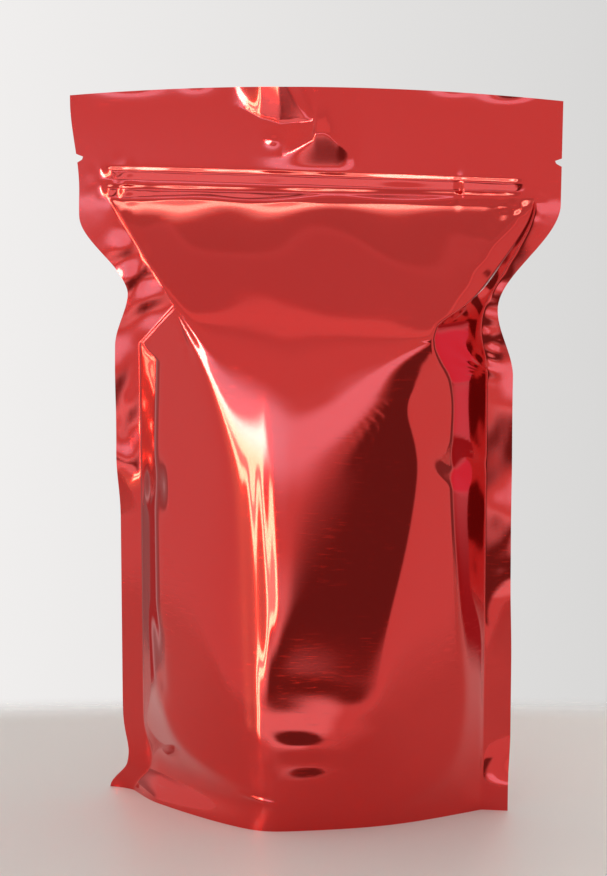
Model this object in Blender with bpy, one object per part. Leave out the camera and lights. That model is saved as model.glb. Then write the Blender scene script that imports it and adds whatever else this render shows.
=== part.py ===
"""Resealable stand-up pouch of red metallised film, shut, filled and standing on its bottom gusset.

Metres, +Z up, origin at the middle of the foot. The front faces -Y and X runs to the right across it.
The pouch is one closed solid: a front and a back face that bulge between flat side seals, a flat header
with a press-to-close zip and two tear notches, and a sealed skirt round a sagging bottom gusset.
"""
import bmesh
import bpy
import numpy as np

# Driving sizes
HEADER_HALF = 0.1002        # half width of the flat header: the pouch is 200 mm wide when flat
CROWN_HEIGHT = 0.2938       # top edge of the standing pouch, at its middle
SEAL_WIDTH = 0.0105         # flat side seal
SEAL_THICKNESS = 0.0008     # two sealed films, drawn thicker than the real quarter of a millimetre
ZIP_HEIGHT = 0.2585         # upper ridge of the zip
ZIP_SPACING = 0.0065        # lower ridge, below the upper one
ZIP_HALF = 0.087            # half length of the zip's round ridges, whose ends are crushed flat
ZIP_RELIEF = 0.0014
ZIP_RADIUS = 0.0016
ZIP_TILT = 0.024            # the zip lies a little lower at its right end
NOTCH_HEIGHT = 0.2662
NOTCH_SIZE = 0.0028
SHOULDER_HEIGHT = 0.2500    # where the flat header ends and the panel slopes out over the contents
SKIRT_HEIGHT = 0.012        # sealed skirt below the contents
GUSSET_RISE = 0.007         # how far the gusset is drawn up inside the skirt
RIM_SCALES = (0.982, 0.955, 0.87, 0.75, 0.58)   # rings of the underside, as shares of the foot's outline

# Side edges of the pouch, as half widths
LEFT_HEADER_FOOT, LEFT_NECK, LEFT_BODY = 0.0950, 0.0750, 0.0806
RIGHT_NECK, RIGHT_BODY = 0.0758, 0.0822
CORNER_FLARE = 0.0064       # left foot corner, which splays out and back
CORNER_PINCH = 0.0030
LEFT_SEAL_TURN, RIGHT_SEAL_TURN = 0.0022, -0.0014    # how far the seals' outer edges curl back, and forward

# Rows of the mesh: height where each band starts, and its row spacing
ROW_BANDS = ((0.0, 0.0040), (SKIRT_HEIGHT, 0.0098), (0.150, 0.0056), (0.2452, 0.0016), (0.2614, 0.0012),
             (0.2710, 0.0057))
ACROSS = 36                 # columns between the seals
SEAL_COLUMNS = 2


class Face:
    """One face of the filled pouch: the facets that its film is stretched into between the pinched points.

    A point is (x, z, depth in front of the seals). The two diagonal edges of the sloping shoulder panel run from
    its upper corners down to the two apexes, and a gore falls from each diagonal to the pinched seal. Below them
    stand upright facets, each (x, depth there, slope, depth at the foot, slope at the foot, lean above the middle).
    """

    def __init__(self, corners, apexes, gore_feet, pinches, belly, belly_facets, side_facets, walls, creases,
                 valleys):
        self.corners, self.apexes, self.gore_feet = corners, apexes, gore_feet
        self.pinches = pinches              # (x, z) at the seals, where a fold runs in from each apex
        self.belly = belly                  # how far the middle swells between foot and shoulder
        self.belly_facets = belly_facets    # left to right across the belly
        self.side_facets = side_facets      # the two that turn back towards the seals
        self.walls = walls                  # slopes of the film where it leaves the left and right seals
        self.creases = creases              # (start, end, drop, width): a sharp edge with a hollow on its right
        self.valleys = valleys              # (start, end, depth, half width), the ends as (x, z)


FRONT = Face(
    corners=((-0.0800, 0.2470, 0.0035), (0.0895, 0.2450, 0.0035)),
    apexes=((-0.0490, 0.2075, 0.0305), (0.0556, 0.1965, 0.0380)),
    gore_feet=((-0.0665, 0.2110, 0.0005), (0.0840, 0.2250, 0.0010)),
    pinches=((-0.0665, 0.2110), (0.0760, 0.2140)),
    belly=0.0035,
    belly_facets=((-0.0100, 0.0455, 0.27, 0.0480, 0.34, 0.0), (-0.0100, 0.0455, -0.12, 0.0480, -0.18, 0.0),
                  (0.0375, 0.0398, -0.42, 0.0415, -0.62, 0.12)),
    side_facets=((-0.0600, 0.0200, 0.67, 0.0215, 0.80, 0.07), (0.0630, 0.0205, -1.05, 0.0125, -0.80, 0.16)),
    walls=(2.4, -3.4),
    creases=(((0.0556, 0.1965), (0.0375, 0.1747), 0.0040, 0.0085),),
    valleys=(((-0.0560, 0.1345), (-0.0665, 0.1345), 0.0030, 0.0080),   # nick in the left facet's edge
             ((0.0590, 0.1430), (0.0670, 0.1500), 0.0030, 0.0070),     # nick in the right facet's edge
             ((-0.0605, 0.0800), (-0.0575, 0.0480), 0.0018, 0.0030)),  # hooked fold low on the left
)
BACK = Face(
    corners=((-0.0840, 0.2460, 0.0035), (0.0840, 0.2460, 0.0035)),
    apexes=((-0.0520, 0.2010, 0.0340), (0.0500, 0.2040, 0.0320)),
    gore_feet=((-0.0700, 0.2150, 0.0005), (0.0720, 0.2160, 0.0005)),
    pinches=((-0.0700, 0.2080), (0.0720, 0.2090)),
    belly=0.0040,
    belly_facets=((0.0060, 0.0445, 0.17, 0.0470, 0.24, 0.0), (0.0060, 0.0445, -0.21, 0.0470, -0.26, 0.0),
                  (-0.0380, 0.0380, 0.45, 0.0380, 0.60, 0.03)),
    side_facets=((-0.0610, 0.0205, 0.92, 0.0120, 0.80, 0.10), (0.0610, 0.0205, -0.85, 0.0120, -0.80, 0.08)),
    walls=(2.8, -2.8),
    creases=(((0.0500, 0.2040), (0.0330, 0.1780), 0.0030, 0.0080),),
    valleys=(((0.0600, 0.1200), (0.0670, 0.1130), 0.0028, 0.0080),
             ((-0.0600, 0.0900), (-0.0670, 0.0980), 0.0028, 0.0080)),
)
SHOULDER_SLOPE = 0.68       # depth gained for each step down the shoulder panel
SHOULDER_FOLD = 0.2535      # height where the shoulder panel's plane meets the seals
SHOULDER_ROLL = 0.0080      # how softly the shoulder rolls over into the belly, at its middle
BELLY_ROLL, FACET_EDGE, DIAGONAL_EDGE = 0.0022, 0.0008, 0.0011
FOOT_ROLL = 0.0050          # the foot is round, without the facets' edges
FOOT_HEIGHT = 0.060         # height by which the facets have their edges, and the walls their slope
WALL_SLOPE_FOOT = 0.90
WALL_SLOPE_NECK = 3.5       # how much steeper the film leaves the seals at the pinched neck
FACETS_FULL = 0.150         # height by which the facets stand as they do at the middle
CREASE_LIP = 0.22           # share of a crease's hollow that its steep edge takes
GORE_LIFT = 3.0             # how steeply the film rises again below a gore's pinch fold


def smooth_step(value):
    """0 below 0, 1 above 1, and a smooth rise between."""
    t = np.clip(value, 0.0, 1.0)
    return t * t * (3.0 - 2.0 * t)


def bump(value):
    return np.exp(-value ** 2)


def soft_min(radius, *depths):
    """The least of the depths, with its corners rounded."""
    stack = np.stack(np.broadcast_arrays(*depths))
    least = stack.min(axis=0)
    return least - radius * np.log(np.exp((least - stack) / radius).sum(axis=0))


def soft_floor(depth, radius):
    """The depth where it is positive, fading smoothly to 0."""
    return 0.5 * (depth + np.sqrt(depth ** 2 + radius ** 2))


def plane(x, z, points):
    """Depth at x, z of the plane through three points."""
    grid = np.array([(px, pz, 1.0) for px, pz, _ in points])
    across, up, constant = np.linalg.solve(grid, np.array([depth for _, _, depth in points]))
    return across * x + up * z + constant


def along_line(x, z, start, end):
    """Share of the way along a line, and the distance from it."""
    run_x, run_z = end[0] - start[0], end[1] - start[1]
    length = np.hypot(run_x, run_z)
    share = ((x - start[0]) * run_x + (z - start[1]) * run_z) / length ** 2
    offset = ((x - start[0]) * run_z - (z - start[1]) * run_x) / length
    return share, offset


def valley(x, z, start, end, depth, half_width):
    """A long dent that fades at both ends."""
    share, offset = along_line(x, z, start, end)
    fade = smooth_step((share + 0.25) / 0.5) * smooth_step((1.25 - share) / 0.5)
    return depth * fade * bump(offset / half_width)


def crease(x, z, start, end, drop, width):
    """A sharp edge along a line, and the hollow that the film drops into on its right."""
    share, offset = along_line(x, z, start, end)
    fade = np.sin(np.pi * np.clip(share, 0.0, 1.0))
    across = np.clip(-offset / width, 0.0, 1.0)
    return drop * fade * smooth_step(across / CREASE_LIP) * (1.0 - across)


def left_edge(z):
    neck = LEFT_NECK + (LEFT_HEADER_FOOT - LEFT_NECK) * smooth_step((z - 0.210) / 0.032)
    neck += (LEFT_BODY - LEFT_NECK) * smooth_step((0.211 - z) / 0.022)
    header = (HEADER_HALF - LEFT_HEADER_FOOT) * smooth_step((z - 0.250) / 0.045)
    corner = CORNER_FLARE * smooth_step((0.012 - z) / 0.012) - CORNER_PINCH * bump((z - 0.017) / 0.009)
    return -(neck + header + corner)


def right_edge(z):
    neck = RIGHT_NECK + (HEADER_HALF - RIGHT_NECK) * smooth_step((z - 0.206) / 0.042)
    return neck + (RIGHT_BODY - RIGHT_NECK) * smooth_step((0.206 - z) / 0.027)


def notch(z):
    """Half-round tear notch, as the width that it takes off a side edge."""
    reach = np.clip(1.0 - ((z - NOTCH_HEIGHT) / (0.5 * NOTCH_SIZE)) ** 2, 0.0, None)
    return NOTCH_SIZE * np.sqrt(reach)


def height_at(x, level):
    """Height of a mesh row: level below the shoulder, and bowed down towards the header's two ends above it."""
    across = x / HEADER_HALF
    bow = 0.0045 * across ** 2 + 0.0010 * across
    return level - bow * smooth_step((level - SHOULDER_HEIGHT) / (CROWN_HEIGHT - SHOULDER_HEIGHT))


def middle(x, z):
    """Y of the seals' mid-surface: the header leans back, the left foot corner is splayed back and the two side
    seals curl a little."""
    lean = 0.14 * soft_floor(z - ZIP_HEIGHT, 0.010)
    corner = 0.009 * smooth_step((-0.062 - x) / 0.024) * smooth_step((0.030 - z) / 0.030)
    dent = 0.0016 * bump((x + 0.008) / 0.022) * bump((z - 0.276) / 0.010)
    upright = 1.0 - smooth_step((z - 0.185) / 0.030)
    left_seal = LEFT_SEAL_TURN * smooth_step((-0.066 - x) / 0.015)
    right_seal = RIGHT_SEAL_TURN * smooth_step((x - 0.068) / 0.015)
    return lean + corner + dent + upright * (left_seal + right_seal)


def zip_relief(x, level):
    """The two round ridges that the zip presses into the film."""
    ends = smooth_step((ZIP_HALF - np.abs(x)) / 0.006)
    upper_line = ZIP_HEIGHT - ZIP_TILT * x
    lower_line = ZIP_HEIGHT - ZIP_SPACING - 0.5 * ZIP_TILT * x
    upper, lower = (bump((level - line) / ZIP_RADIUS) for line in (upper_line, lower_line))
    return ZIP_RELIEF * ends * (upper + lower)


def upright_facet(facet, x, z):
    """Depth of an upright facet's plane, which turns a little between the foot and the middle."""
    facet_x, depth, slope, foot_depth, foot_slope, lean = facet
    rise = smooth_step(z / FACETS_FULL)
    depth_here = foot_depth + (depth - foot_depth) * rise
    slope_here = foot_slope + (slope - foot_slope) * rise
    return depth_here + slope_here * (x - facet_x) + lean * np.clip(z - FACETS_FULL, 0.0, None)


def gore(corner, apex, foot, pinch, x, z):
    """Depth of the gore beside the shoulder panel. Below its pinch fold the film rises again."""
    _, left_of_fold = along_line(x, z, pinch, apex[:2])
    below = left_of_fold * np.sign(pinch[0] - apex[0])
    return plane(x, z, (corner, apex, foot)) + GORE_LIFT * soft_floor(-below, 0.0006)


def face_depth(face, x, z, left_seal, right_seal):
    """Distance of a face's film in front of the seals' mid-surface."""
    foot = 1.0 - smooth_step(z / FOOT_HEIGHT)
    facets = [upright_facet(facet, x, z) for facet in face.belly_facets]
    belly = soft_min(BELLY_ROLL + FOOT_ROLL * foot, *facets)
    belly = belly + face.belly * np.sin(np.pi * np.clip(z / 0.2, 0.0, 1.0))
    to_apex = np.where(x < 0.0, x / face.apexes[0][0], x / face.apexes[1][0])
    roll = SHOULDER_ROLL * (1.0 - 0.85 * smooth_step(to_apex * 1.3 - 0.3))
    upper = soft_min(roll, belly, SHOULDER_SLOPE * (SHOULDER_FOLD - z))

    sides = [upright_facet(facet, x, z) for facet in face.side_facets]
    for wall, seal in zip(face.walls, (left_seal, right_seal)):
        steep = WALL_SLOPE_FOOT + (abs(wall) - WALL_SLOPE_FOOT) * (1.0 - foot)
        steep = steep + WALL_SLOPE_NECK * smooth_step((z - 0.185) / 0.015)
        sides.append(steep * np.sign(wall) * (x - seal))
    lower = soft_min(FACET_EDGE + FOOT_ROLL * foot, upper, *sides)

    gores = [gore(*points, x, z) for points in zip(face.corners, face.apexes, face.gore_feet, face.pinches)]
    depth = soft_min(DIAGONAL_EDGE, lower, *gores)
    for line in face.creases:
        depth = depth - crease(x, z, *line)
    for line in face.valleys:
        depth = depth - valley(x, z, *line)
    return 0.5 * SEAL_THICKNESS + soft_floor(depth, 0.0008)


def row_levels():
    starts = [start for start, _ in ROW_BANDS] + [CROWN_HEIGHT]
    levels = []
    for (start, spacing), end in zip(ROW_BANDS, starts[1:]):
        count = max(1, round((end - start) / spacing))
        levels.extend(start + (end - start) * step / count for step in range(count))
    return np.array(levels + [CROWN_HEIGHT])


def column_shares():
    """Columns as (which strip, share across it): left seal, the film between the seals, right seal."""
    seal = [step / SEAL_COLUMNS for step in range(SEAL_COLUMNS)]
    inner = [0.5 + 0.5 * np.sin(np.pi * (step / ACROSS - 0.5)) for step in range(ACROSS + 1)]
    return [(0, share) for share in seal] + [(1, share) for share in inner] \
        + [(2, 1.0 - share) for share in reversed(seal)]


def film_points(face, toward, strips, shares, levels):
    """Places of a face's mesh points, from each point's column and row."""
    left, right = left_edge(levels) + notch(levels), right_edge(levels) - notch(levels)
    left_seal, right_seal = left_edge(levels) + SEAL_WIDTH, right_edge(levels) - SEAL_WIDTH
    bounds = ((left, left_seal), (left_seal, right_seal), (right_seal, right))
    x = np.zeros_like(levels)
    for strip, (start, end) in enumerate(bounds):
        x = np.where(strips == strip, start + (end - start) * shares, x)
    z = height_at(x, levels)
    depth = face_depth(face, x, levels, left_seal, right_seal)
    depth = depth + zip_relief(x, levels)
    return np.stack([x, middle(x, z) + toward * depth, z], axis=1)


def add_face(bm, face, toward, columns, levels):
    """A grid of film, shaped by the face's functions. Returns its mesh points, row by row."""
    grid = bmesh.ops.create_grid(bm, x_segments=len(columns) - 1, y_segments=len(levels) - 1, size=0.5)
    points = sorted(grid["verts"], key=lambda v: (round(v.co.y, 6), round(v.co.x, 6)))
    strips = np.tile([strip for strip, _ in columns], len(levels))
    shares = np.tile([share for _, share in columns], len(levels))
    heights = np.repeat(levels, len(columns))
    for point, place in zip(points, film_points(face, toward, strips, shares, heights)):
        point.co = place
    return [points[row:row + len(columns)] for row in range(0, len(points), len(columns))]


def rim_edges(rows):
    """Edges round the border of a face's grid."""
    return list({edge for row in rows for point in row for edge in point.link_edges if edge.is_boundary})


def add_underside(bm, front_foot, back_foot):
    """Skirt rim, groove and sagging gusset, as rings drawn in from the foot's own outline."""
    inner = slice(SEAL_COLUMNS, -SEAL_COLUMNS)
    foot = set(front_foot[inner]) | set(back_foot[inner])
    spans = [face for face in bm.faces if len([v for v in face.verts if v in foot]) == 4
             and all(abs(v.co.z) < 1e-6 for v in face.verts)]
    bmesh.ops.delete(bm, geom=spans, context="FACES")
    ring = list({edge for v in foot for edge in v.link_edges if edge.is_boundary})
    places = {v: v.co.copy() for v in foot}
    rises = (0.0, GUSSET_RISE, GUSSET_RISE, 0.4 * GUSSET_RISE, 0.0)
    for scale, rise in zip(RIM_SCALES, rises):
        ends = {v: [] for edge in ring for v in edge.verts}
        made = bmesh.ops.extrude_edge_only(bm, edges=ring)["geom"]
        new_points = [item for item in made if isinstance(item, bmesh.types.BMVert)]
        fresh = {}
        for point in new_points:
            source = next(edge.other_vert(point) for edge in point.link_edges if edge.other_vert(point) in ends)
            fresh[point] = places[source]
            point.co = (places[source].x * scale, places[source].y * scale, rise)
        places = fresh
        ring = [item for item in made if isinstance(item, bmesh.types.BMEdge) and item.is_boundary]
    bmesh.ops.contextual_create(bm, geom=ring)


def centre_on_origin(bm):
    """Puts the middle of the pouch's box over the origin, with its foot at height 0."""
    places = np.array([v.co for v in bm.verts])
    low, high = places.min(axis=0), places.max(axis=0)
    shift = (-(low[0] + high[0]) / 2, -(low[1] + high[1]) / 2, -low[2])
    bmesh.ops.translate(bm, verts=bm.verts, vec=shift)


def film_material():
    material = bpy.data.materials.new("red_metallised_film")
    material.use_nodes = True
    shader = material.node_tree.nodes["Principled BSDF"]
    shader.inputs["Base Color"].default_value = (0.72, 0.035, 0.03, 1.0)
    shader.inputs["Metallic"].default_value = 1.0
    shader.inputs["Roughness"].default_value = 0.14
    return material


def make_pouch():
    bm = bmesh.new()
    columns, levels = column_shares(), row_levels()
    front = add_face(bm, FRONT, -1.0, columns, levels)
    back = add_face(bm, BACK, 1.0, columns, levels)
    bmesh.ops.bridge_loops(bm, edges=rim_edges(front) + rim_edges(back))
    add_underside(bm, front[0], back[0])
    bmesh.ops.triangulate(bm, faces=bm.faces)
    bmesh.ops.recalc_face_normals(bm, faces=bm.faces)
    centre_on_origin(bm)
    mesh = bpy.data.meshes.new("pouch")
    bm.to_mesh(mesh)
    bm.free()
    mesh.shade_smooth()
    mesh.set_sharp_from_angle(angle=np.radians(50.0))
    mesh.materials.append(film_material())
    pouch = bpy.data.objects.new("pouch", mesh)
    bpy.context.scene.collection.objects.link(pouch)


def main():
    for old in list(bpy.data.objects):
        bpy.data.objects.remove(old)
    make_pouch()


main()
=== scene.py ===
"""Looks of a resealable stand-up pouch of red metallised film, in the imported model's frame.

Metres, +Z up. The pouch's front faces -Y, and X runs to the right across it.
The film is one closed piece: two sheets of film, shaped by the folds that a filled pouch pulls into them
and joined at their seals, over a sealed skirt and a sagging bottom gusset. Every fold is geometry, because
a mirror-bright film shows its shape through what it reflects.
"""
import math

import bmesh
import bpy
import numpy as np
from mathutils import Matrix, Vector
from bpy.props import FloatProperty, FloatVectorProperty, PointerProperty


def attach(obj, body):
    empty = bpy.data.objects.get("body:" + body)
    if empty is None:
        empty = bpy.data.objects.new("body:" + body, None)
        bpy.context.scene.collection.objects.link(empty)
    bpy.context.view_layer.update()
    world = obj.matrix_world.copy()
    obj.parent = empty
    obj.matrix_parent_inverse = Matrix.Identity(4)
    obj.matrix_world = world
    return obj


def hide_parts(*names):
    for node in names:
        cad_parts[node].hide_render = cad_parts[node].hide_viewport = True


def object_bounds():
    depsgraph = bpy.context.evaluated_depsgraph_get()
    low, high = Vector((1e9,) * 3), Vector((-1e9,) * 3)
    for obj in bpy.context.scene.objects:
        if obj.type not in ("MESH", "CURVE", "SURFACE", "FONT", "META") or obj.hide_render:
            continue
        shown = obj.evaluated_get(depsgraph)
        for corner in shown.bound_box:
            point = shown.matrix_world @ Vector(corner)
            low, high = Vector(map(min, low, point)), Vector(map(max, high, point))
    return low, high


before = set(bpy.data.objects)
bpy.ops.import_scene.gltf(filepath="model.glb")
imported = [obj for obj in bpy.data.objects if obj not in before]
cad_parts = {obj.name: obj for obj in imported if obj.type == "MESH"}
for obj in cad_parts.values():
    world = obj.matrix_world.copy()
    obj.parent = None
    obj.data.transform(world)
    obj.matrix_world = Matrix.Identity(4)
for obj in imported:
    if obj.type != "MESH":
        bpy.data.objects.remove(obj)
cad_low, cad_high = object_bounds()

bl_info = {
    "name": "Resealable stand-up pouch",
    "version": (1, 0, 0),
    "blender": (4, 5, 0),
    "location": "View3D > Sidebar > Pouch",
    "description": "Red metallised film of a filled stand-up pouch, with its studio",
    "category": "Add Mesh",
}

CAD_CENTRE = [(low + high) / 2 for low, high in zip(cad_low, cad_high)]
CROWN_HEIGHT = 0.2938       # top edge of the standing pouch, at its middle
HEADER_HALF = 0.1002
SHOULDER_HEIGHT = 0.2500    # rows of the mesh start to bow above this
CROWN_BOW, CROWN_TILT = 0.0045, 0.0010

# Side edges, as half widths, and the splayed corner at their left foot
LEFT_HEADER_FOOT, LEFT_NECK, LEFT_BODY = 0.0950, 0.0750, 0.0806
RIGHT_NECK, RIGHT_BODY = 0.0758, 0.0822
CORNER_FLARE = 0.0064
CORNER_PINCH = 0.0030
CORNER_SPLAY = 0.009        # how far back the corner is splayed
CORNER_START = 0.062        # how far out the splay starts

# Blister at the header's top edge: its lower edge and its slope above that, each as (x, value)
BLISTER_FOOT = ((-0.0310, 0.2865), (-0.0210, 0.2815), (-0.0130, 0.2793), (0.0020, 0.2804))
BLISTER_SLOPE = ((-0.0260, 0.280), (-0.0140, 0.336), (-0.0020, 0.400))
BLISTER_LEFT, BLISTER_RIGHT, BLISTER_SLANT = -0.0340, 0.0035, 0.5
BLISTER_LIP, BLISTER_LIP_LENGTH = 0.0002, 0.0012
# Peaked bulge over the zip: its upper edge as (x, z), its lower edge, and how it rises and falls off
HILL_ROOF = ((-0.0120, 0.2655), (0.0005, 0.2725), (0.0020, 0.2755), (0.0058, 0.2757), (0.0080, 0.2745),
             (0.0200, 0.2630))
HILL_FOOT, HILL_EDGE = 0.2615, 0.0014
HILL_LEFT, HILL_RIGHT = -0.0260, 0.0200
HILL_RISE, HILL_FALL = 0.315, 0.012
HEADER_LEAN = 0.19          # slope back, above the zip
LEAN_START = 0.2475

# Dents that both sheets share: (x, z, half width, half height, turn in degrees, height towards the front)
HEADER_DENTS = (
    (-0.0155, 0.2725, 0.0026, 0.0020, 0.0, 0.0007),
    (-0.0760, 0.2950, 0.0120, 0.0030, 0.0, 0.0013),
    (-0.0480, 0.2960, 0.0060, 0.0030, 0.0, 0.0011),
    (0.0780, 0.2925, 0.0090, 0.0030, 0.0, 0.0013),
    (0.0570, 0.2945, 0.0080, 0.0028, 0.0, 0.0010),
    (0.0597, 0.2535, 0.0014, 0.0045, 0.0, -0.0009),
)
# Crumpled film: (x, z, half width, half height, spacing of its creases, height, seed)
CRUMPLES = (
    (-0.0780, 0.2535, 0.0085, 0.0075, 0.0070, 0.00035, 21),
    (0.0830, 0.2470, 0.0080, 0.0050, 0.0060, 0.00030, 22),
    (-0.0720, 0.2200, 0.0110, 0.0220, 0.0160, 0.00060, 23),
    (0.0760, 0.2250, 0.0090, 0.0220, 0.0140, 0.00060, 24),
    (0.0700, 0.1900, 0.0080, 0.0120, 0.0090, 0.00035, 25),
    (0.0770, 0.1300, 0.0050, 0.0500, 0.0200, 0.00020, 26),
    (-0.0750, 0.1600, 0.0060, 0.0350, 0.0160, 0.00030, 27),
)
# Left and right side seal: (side, where it starts, slope that it curls back with, height under which it curls
# and over what length, slope of its waves, a height where they pass zero, their length, height under which
# they fade and over what length)
SIDE_SEALS = (
    (-1.0, 0.0695, 0.620, 0.146, 0.030, 0.05, 0.145, 0.043, 0.145, 0.020),
    (1.0, 0.0708, 0.899, 0.100, 0.040, 0.06, 0.133, 0.045, 0.095, 0.015),
)
SEAL_HINGE = 0.0006         # how softly a seal turns off the film beside it

# The zip's ridges
ZIP_UPPER_TILT, ZIP_LOWER_TILT = 0.024, 0.012
ZIP_CREST, ZIP_FOOT = 0.15, 0.08    # how round a ridge is there, as shares of its width
ZIP_LOWER_SHARE = 0.85      # height of the lower ridge against the upper one
ZIP_WAVE = 0.22
ZIP_END = 0.006

# Shoulder panel
PANEL_SLOPE = 0.56          # depth gained for each step down the panel, far from its crease
PANEL_SWELL = 0.0093        # and what it gains near the crease, where it is steeper
PANEL_SWELL_LENGTH = 0.022
SWELL_WAVE = 0.13
PANEL_WAVE = 0.0008
CREASE_HEIGHT, CREASE_WAVE = 0.2490, 0.0014
CREASE_STEP, CREASE_STEP_LENGTH = 0.0004, 0.0008
SHOULDER_ROLL = 0.0080      # how softly the panel rolls over into the belly, at its middle
APEX_SHARPNESS = 0.85       # and how much of that is gone at its apexes

# Belly: what its facets do on their way down
FACETS_FULL = 0.150         # height where they have their full slope, and above which some of them lean
FACET_LEAN_ROLL = 0.012
BELLY_HEIGHT = 0.200
FACET_EDGE, DIAGONAL_EDGE = 0.0009, 0.0009
FOOT_ROLL = 0.0050
FOOT_HEIGHT = 0.060
CREST_FACETS = 2            # the facets that meet at the crest, first in each sheet's list
CREST_DRIFT = 0.0070        # how far to the left the crest wanders on its way down
CREST_DRIFT_TOP, CREST_DRIFT_LENGTH = 0.097, 0.036
# Faint folds along the crest: height, spacing and lean, where they lie, and a point on one of them
STREAK_HEIGHT, STREAK_SPACING, STREAK_LEAN = 0.00005, 0.0056, 0.04
STREAK_X, STREAK_REACH, STREAK_TOP, STREAK_FADE = -0.0125, 0.008, 0.156, 0.020
STREAK_POINT = (-0.0153, 0.131)
# The belly's dent and waves over the foot, as dents
FOOT_DENT = (0.0180, 0.0220, 0.0350, 0.0200, 0.0, 0.0009)
FOOT_WAVES = (0.0120, 0.0320, 0.0300, 0.0180, 0.0, 0.00052)
FILM_WAVE = 0.00005

# Sides
WALL_SLOPE_FOOT = 0.90
WALL_SLOPE_NECK = 3.5
NECK_STARTS = (0.185, 0.202)        # left and right height above which the walls turn steep
NECK_LENGTH = 0.015
FLANK_ROLLS = (0.0018, 0.0)         # how much softer the left and right flanks roll over, low down
FLANK_ROLL_TOP, FLANK_ROLL_LENGTH = 0.155, 0.055
GORE_LIFT = 9.0             # slope with which the film rises again under a pinch fold
PINCH_EDGE = 0.0006
# Edge of a narrow facet along a fold: its softness and bow, its turn and rise under its end, and its rise
# over the apex
CHAMFER_EDGE, CHAMFER_BOW, CHAMFER_TURN, CHAMFER_RUN_OUT, CHAMFER_CLEAR = 0.0011, 0.0010, 0.45, 0.0025, 0.03
# How softly the sheet meets its seals, and what the neck adds to that
SEAL_EDGE, NECK_EDGE, NECK_EDGE_HEIGHT, NECK_EDGE_REACH = 0.0004, 0.0016, 0.228, 0.028
# The right seal is narrower at the neck
NECK_PINCH, NECK_PINCH_HEIGHT, NECK_PINCH_REACH = 0.6, 0.215, 0.018

# Underside: its rings, as shares of the foot's outline, and their heights
GUSSET_RISE = 0.007
RIM_RINGS = ((0.982, 0.0), (0.955, GUSSET_RISE), (0.87, GUSSET_RISE), (0.75, 0.4 * GUSSET_RISE), (0.58, 0.0))
UNDERSIDE_HALF = 0.070

# Rows of the mesh: height where each band starts, and its row spacing
ROW_BANDS = ((0.0, 0.0016), (0.020, 0.0017), (0.150, 0.0015), (0.2452, 0.0006), (0.2640, 0.0013))
# Columns between the seals: how many, how close where nothing crowds them, and the crowds as
# (place, half width, closeness)
ACROSS = 108
COLUMN_EVEN = 0.65
COLUMN_CROWDS = ((0.40, 0.08, 1.6), (0.83, 0.08, 1.4), (0.0, 0.07, 2.0), (1.0, 0.07, 2.0))
SEAL_COLUMNS = 5
FOLD_ANGLES = (8.5, 12.0)   # degrees: film that turns more than this between two mesh faces is refined
STEP_ACROSS, STEP_UP = 0.002, 0.0003    # steps that the film's slopes are read over: columns' shares, metres

# Real sizes in the finishes, in millimetres: lacquer clouding, scratches, the patches that they lie in, the
# film's grain, and the table's clouding and grain
CLOUD_MM, SCRATCH_LENGTH_MM, SCRATCH_SPACING_MM, WORN_MM, GRAIN_MM = 45.0, 7.0, 0.8, 35.0, 1.0
TABLE_CLOUD_MM, TABLE_GRAIN_MM = 111.1, 1.111

CAMERA_TURN = math.radians(9.0)     # the camera stands this far round to the right of straight ahead
CAMERA_PITCH = math.radians(8.38)
CAMERA_DISTANCE, CAMERA_HEIGHT = 1.0, 0.30
AIM_LEFT = 0.0024
FOCAL_PIXELS, LONG_SIDE_PIXELS = 2490.0, 876.0
TABLE_REACH = (0.60, 0.185)         # half sizes, seen from the camera
TABLE_FADE = (0.72, 0.98)           # shares of those between which the table fades out
MIRROR_FADE = (-0.085, -0.125)      # and where it fades out of the film's reflections, in front


class Sheet:
    """One sheet of the pouch's film: the facets that it is stretched into, and the folds and dents in them.

    A point is (x, z, depth in front of the seals). The two diagonals of the shoulder panel run from its upper
    corners down to the two apexes, and a gore falls from each diagonal to the pinched seal. Below them stand
    upright facets, each (x, depth there, slope, depth at the foot, slope at the foot, lean above the middle).
    """

    def __init__(self, corners, apexes, gore_feet, pinches, belly, belly_facets, belly_rolls, side_facets,
                 flank_hollows, walls, chamfers, ridges, fans):
        self.corners, self.apexes, self.gore_feet = corners, apexes, gore_feet
        self.pinches = pinches              # (x, z) at the seals, where a fold runs in from each apex
        self.belly = belly                  # how far the middle swells between foot and shoulder
        self.belly_facets = belly_facets    # left to right across the belly
        self.belly_rolls = belly_rolls      # how softly each of them rolls over into the next
        self.side_facets = side_facets      # the two that turn back towards the seals
        self.flank_hollows = flank_hollows  # the round hollows in each of them, given as dents
        self.walls = walls                  # slopes of the film where it leaves the left and right seals
        self.chamfers = chamfers            # (apex, end, slope, cut): a narrow facet along a fold
        self.ridges = ridges                # (start, end, height, width on its left, width on its right)
        self.fans = fans                    # (x, z, towards in degrees, spread, folds, reach, height)


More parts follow.
